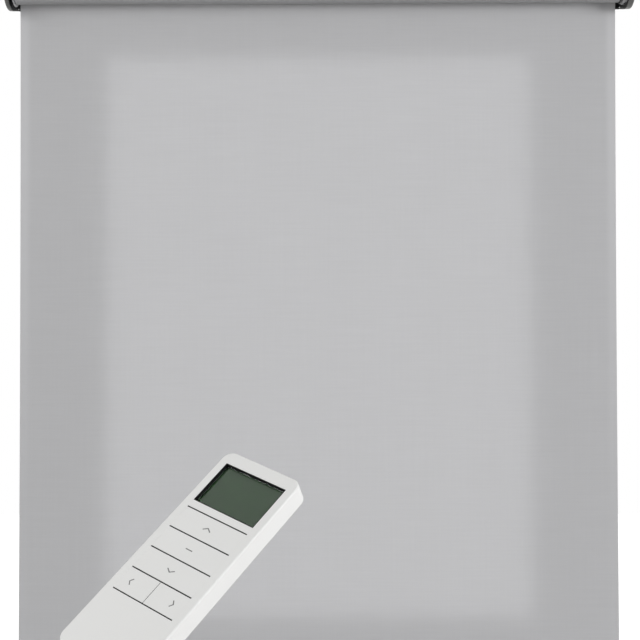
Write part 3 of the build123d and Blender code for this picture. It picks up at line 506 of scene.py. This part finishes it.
def makeCloth(look):
    # y = middle of the CAD slab, plus shallow vertical waves that fade at the roll and the rail, plus
    # a curl of both side edges towards the room. Near the top it leans in to the roll's outer layer.
    # Both sides draw in a little at mid height, as half a sine wave. A narrow column at each side edge
    # keeps the shading of the cut edge off the face.
    low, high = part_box("cloth")
    width, length = high.x - low.x, high.z - low.z
    middle = (low.y + high.y) / 2
    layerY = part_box("cloth_roll")[1].y - look["thick"] / 2
    edge = look["edgeColumn"] / width
    across = np.sort(np.append(np.linspace(0, 1, look["columns"]), [edge, 1 - edge]))
    u, w = np.meshgrid(across, np.linspace(0, 1, look["rows"]))
    x = low.x + width * u
    x = x + look["waist"] * (1 - 2 * u) * np.sin(math.pi * w)
    z = high.z + (low.z - high.z) * w
    freeFrom, freeTo = look["freeSpan"]
    free = shareOf(w, 0.0, freeFrom) * (1 - shareOf(w, freeTo, 1.0))
    waves = sum(share * np.sin(x * rate + start) for rate, share, start in look["waves"])
    fromEdge = np.minimum(x - low.x, high.x - x)
    curl = (1 - shareOf(fromEdge, 0.0, look["edgeWidth"])) ** 2
    lean = 1 - shareOf(-z, 0.0, look["clingLength"])
    y = middle + look["waveHeight"] * waves * free - look["edgeCurl"] * curl * free
    y = y + (layerY - middle) * lean
    cloth = gridMesh("clothSheet", np.stack([x, y, z], axis=-1))
    solid = cloth.modifiers.new("thickness", "SOLIDIFY")
    solid.thickness = look["thick"]
    solid.offset = 0.0
    cloth.data.materials.append(materials["grey_cloth"])
    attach(cloth, "frame")
    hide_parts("cloth")
    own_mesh(cloth)
    return cloth, (width, length)


# The cloth still wound on the tube
woundCloth = {
    "thick": 0.4 * mm,
    "gap": 0.02 * mm,
    "stepsPerTurn": 72,
    "tubeClear": 0.06 * mm,
    "creaseDegrees": 30,
}


def makeRoll(look):
    # a strip of constant thickness along a spiral: the radius falls by one layer a turn, going from the
    # back of the roll over the top, from the point where the hanging cloth leaves it
    low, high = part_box("cloth_roll")
    axisY, axisZ = (low.y + high.y) / 2, (low.z + high.z) / 2
    outside = high.y - axisY
    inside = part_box("roller_tube")[1].y - axisY + look["tubeClear"]
    half = look["thick"] / 2
    pitch = look["thick"] + look["gap"]
    turns = (outside - look["thick"] - inside) / pitch
    angle = np.linspace(0, 2 * math.pi * turns, int(look["stepsPerTurn"] * turns) + 1)
    middle = outside - half - pitch * angle / (2 * math.pi)
    # section of the strip: out at the left, out at the right, in at the right, in at the left
    radial = np.array([half, half, -half, -half])
    across = np.array([low.x, high.x, high.x, low.x])
    radius = middle[:, None] + radial[None, :]
    x = np.broadcast_to(across, radius.shape)
    y = axisY + radius * np.cos(angle)[:, None]
    z = axisZ + radius * np.sin(angle)[:, None]
    points = np.stack([x, y, z], axis=-1)
    # both ends close on the middle of the strip's thickness
    ends = points.copy()
    ends[..., 1] = axisY + middle[:, None] * np.cos(angle)[:, None]
    ends[..., 2] = axisZ + middle[:, None] * np.sin(angle)[:, None]
    points = np.concatenate([ends[:1], points, ends[-1:]])
    roll = gridMesh("woundCloth", points, closeColumns=True)
    mergeAndTurnOut(roll)
    smoothUnder(roll, look["creaseDegrees"])
    roll.data.materials.append(materials["grey_cloth"])
    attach(roll, "roller")
    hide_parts("cloth_roll")
    length = float(np.sum(np.hypot(np.diff(middle * np.cos(angle)), np.diff(middle * np.sin(angle)))))
    return roll, (high.x - low.x, length)


def mergeAndTurnOut(thing):
    # joins doubled points and turns every face outwards
    work = bmesh.new()
    work.from_mesh(thing.data)
    bmesh.ops.remove_doubles(work, verts=work.verts, dist=mergeDistance)
    bmesh.ops.recalc_face_normals(work, faces=work.faces)
    work.to_mesh(thing.data)
    work.free()
    thing.data.update()


def smoothUnder(thing, degrees):
    # smooth shading, with creases kept where faces meet at more than this angle
    thing.data.polygons.foreach_set("use_smooth", np.ones(len(thing.data.polygons), bool))
    with bpy.context.temp_override(object=thing, active_object=thing, selected_editable_objects=[thing]):
        bpy.ops.object.shade_smooth_by_angle(angle=math.radians(degrees))


cloth, clothFlat = makeCloth(hangingCloth)
roll, rollFlat = makeRoll(woundCloth)
print("cloth:", [round(side, 3) for side in clothFlat], "hanging,",
      [round(side, 3) for side in rollFlat], "wound")


# Symbols printed on the transmitter's keys, in millimetres on its face: across, and down from its top
# end, which is at the place and turn given here in millimetres and degrees
transmitter = {
    "top": (-21.0, -663.7, -402.6),
    "turn": (42.76, -12.81, -37.28),
    "keyTop": -0.02,
    "inkThick": 0.03,
    "inkWide": 0.5,
    "inkOverrun": 0.125,
    "colour": "#6B6B6B",
    "drift": "#7B7B7B",
    "filmMm": 0.4,
}
symbols = {
    "key_up": ("markUp", [(-2.4, -42.9), (-0.3, -41.5), (1.8, -42.9)]),
    "key_stop": ("markStop", [(-2.2, -55.0), (1.5, -55.0)]),
    "key_down": ("markDown", [(-2.4, -67.2), (-0.3, -68.6), (1.8, -67.2)]),
    "key_left": ("markLeft", [(-12.5, -79.3), (-13.7, -80.9), (-12.5, -82.5)]),
    "key_right": ("markRight", [(12.2, -79.1), (13.4, -80.7), (12.2, -82.3)]),
}


def padPrint(name, look):
    # Pad-printed ink: matt, a little thin where the pad lifted
    material, tree, shader, place = newMaterial(name, {"Roughness": 0.6, "IOR": 1.5})
    setTone(tree, shader, look, noiseAt(tree, place, look["filmMm"], detail=2.0))
    return material


def euler(degrees):
    # turns about X, then Y, then Z of the turned axes
    x, y, z = (math.radians(d) for d in degrees)
    about = [Matrix.Rotation(a, 3, axis) for a, axis in ((x, "X"), (y, "Y"), (z, "Z"))]
    return (about[0] @ about[1] @ about[2]).to_quaternion()


def makeSymbol(name, path, look, ink):
    # a flat ribbon along the path: at each point it goes half its width to both sides, square to the
    # path, or along the bisector and longer by the mitre at a corner
    path = np.array(path, float)
    steps = np.diff(path, axis=0)
    steps /= np.linalg.norm(steps, axis=1)[:, None]
    into, out = np.vstack([steps[:1], steps]), np.vstack([steps, steps[-1:]])
    mean = into + out
    mean /= np.linalg.norm(mean, axis=1)[:, None]
    side = np.stack([-mean[:, 1], mean[:, 0]], axis=-1)
    side /= np.sum(mean * into, axis=1)[:, None]
    path[0] -= steps[0] * look["inkOverrun"]
    path[-1] += steps[-1] * look["inkOverrun"]
    # section of the ribbon: right and left on the key, then left and right on top of the ink
    offsets = np.array([-0.5, 0.5, 0.5, -0.5]) * look["inkWide"]
    heights = look["keyTop"] + np.array([0, 0, 1, 1]) * look["inkThick"]
    flat = path[:, None, :] + side[:, None, :] * offsets[None, :, None]
    points = np.concatenate([flat, np.broadcast_to(heights[None, :, None], flat.shape[:2] + (1,))], axis=-1)
    # both ends close on the middle of the ribbon
    ends = points.copy()
    ends[..., :2] = path[:, None, :]
    ends[..., 2] = heights.mean()
    points = np.concatenate([ends[:1], points, ends[-1:]])
    turn = Matrix.LocRotScale(None, euler(look["turn"]), None)
    place = Matrix.Translation(Vector(look["top"]) * mm) @ turn @ Matrix.Scale(mm, 4)
    place = np.array(place)
    world = points.reshape(-1, 3) @ place[:3, :3].T + place[:3, 3]
    mark = gridMesh(name, world.reshape(points.shape), closeColumns=True)
    mergeAndTurnOut(mark)
    mark.data.polygons.foreach_set("use_smooth", np.zeros(len(mark.data.polygons), bool))
    mark.data.materials.append(ink)
    return mark


ink = padPrint("padPrintedInkGrey", transmitter)
for body, (name, path) in symbols.items():
    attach(makeSymbol(name, path, transmitter, ink), body)
print("symbols:", len(symbols), "on the keys")
